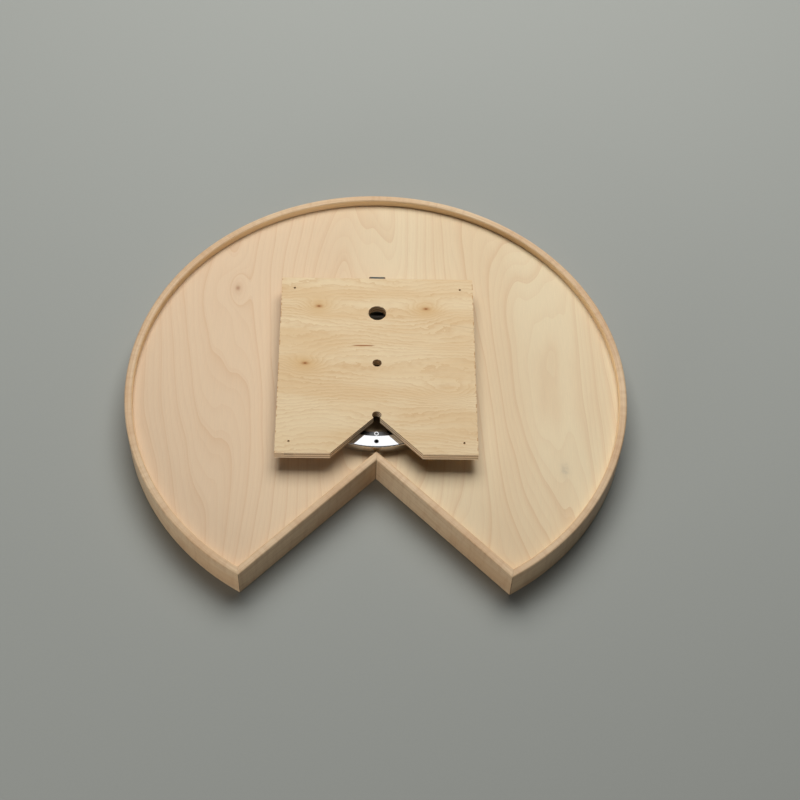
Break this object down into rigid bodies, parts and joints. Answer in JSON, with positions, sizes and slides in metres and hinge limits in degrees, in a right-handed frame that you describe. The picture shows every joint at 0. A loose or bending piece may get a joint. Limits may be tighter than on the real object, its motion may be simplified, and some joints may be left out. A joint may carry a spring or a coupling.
{
  "type": "lazy susan turntable",
  "caption": "Round wooden turntable tray with a pie-cut notch, turning on a steel ball bearing under a notched plywood base plate; stored rim down.",
  "frame": {"origin": "centre of the hole in the middle of the base plate, on its mounting face and on the swivel axis", "axes": "+Z is the swivel axis, out of the base plate's mounting face; +X is left to right across the pie-cut notch, which opens towards -Y. The part is stored upside down, rim down: turn it half a turn about X to stand the base plate on a shelf."},
  "size_m": [0.7112, 0.6622, 0.0699],
  "materials": {
    "maple_band": "satin lacquer",
    "panel_veneer": "satin lacquer",
    "base_plywood": "bare sanded",
    "bright_steel": "polished",
    "zinc_steel": "zinc plated",
    "eyelet_metal": "satin",
    "cage_nylon": "matte",
    "label_foil": "satin"
  },
  "bodies": {
    "base": {"base_plate": "base_plywood", "base_ring": "bright_steel", "race_ring": "zinc_steel", "eyelets": "eyelet_metal", "base_ring_screws": "zinc_steel"},
    "tray": {"tray_panel": "panel_veneer", "rim_band": "maple_band", "notch_band_left": "maple_band", "notch_band_right": "maple_band", "tray_ring": "zinc_steel", "tray_ring_screws": "zinc_steel", "blank_label": "label_foil"},
    "cage": {"ball_cage": "cage_nylon", "ball_01": "zinc_steel", "ball_02": "zinc_steel", "ball_03": "zinc_steel", "ball_04": "zinc_steel", "ball_05": "zinc_steel", "ball_06": "zinc_steel", "ball_07": "zinc_steel", "ball_08": "zinc_steel", "ball_09": "zinc_steel", "ball_10": "zinc_steel", "ball_11": "zinc_steel", "ball_12": "zinc_steel", "ball_13": "zinc_steel", "ball_14": "zinc_steel", "ball_15": "zinc_steel", "ball_16": "zinc_steel", "ball_17": "zinc_steel", "ball_18": "zinc_steel", "ball_19": "zinc_steel", "ball_20": "zinc_steel", "ball_21": "zinc_steel", "ball_22": "zinc_steel", "ball_23": "zinc_steel", "ball_24": "zinc_steel"}
  },
  "joints": [
    {"name": "tray_spin", "type": "hinge", "parent": "base", "child": "tray", "pos_m": [0, 0, 0], "axis": [0, 0, 1], "continuous": true},
    {"name": "cage_spin", "type": "hinge", "parent": "base", "child": "cage", "pos_m": [0, 0, 0], "axis": [0, 0, 1], "continuous": true}
  ],
  "couplings": [
    {"joint": "cage_spin", "follows": "tray_spin", "ratio": 0.5}
  ]
}
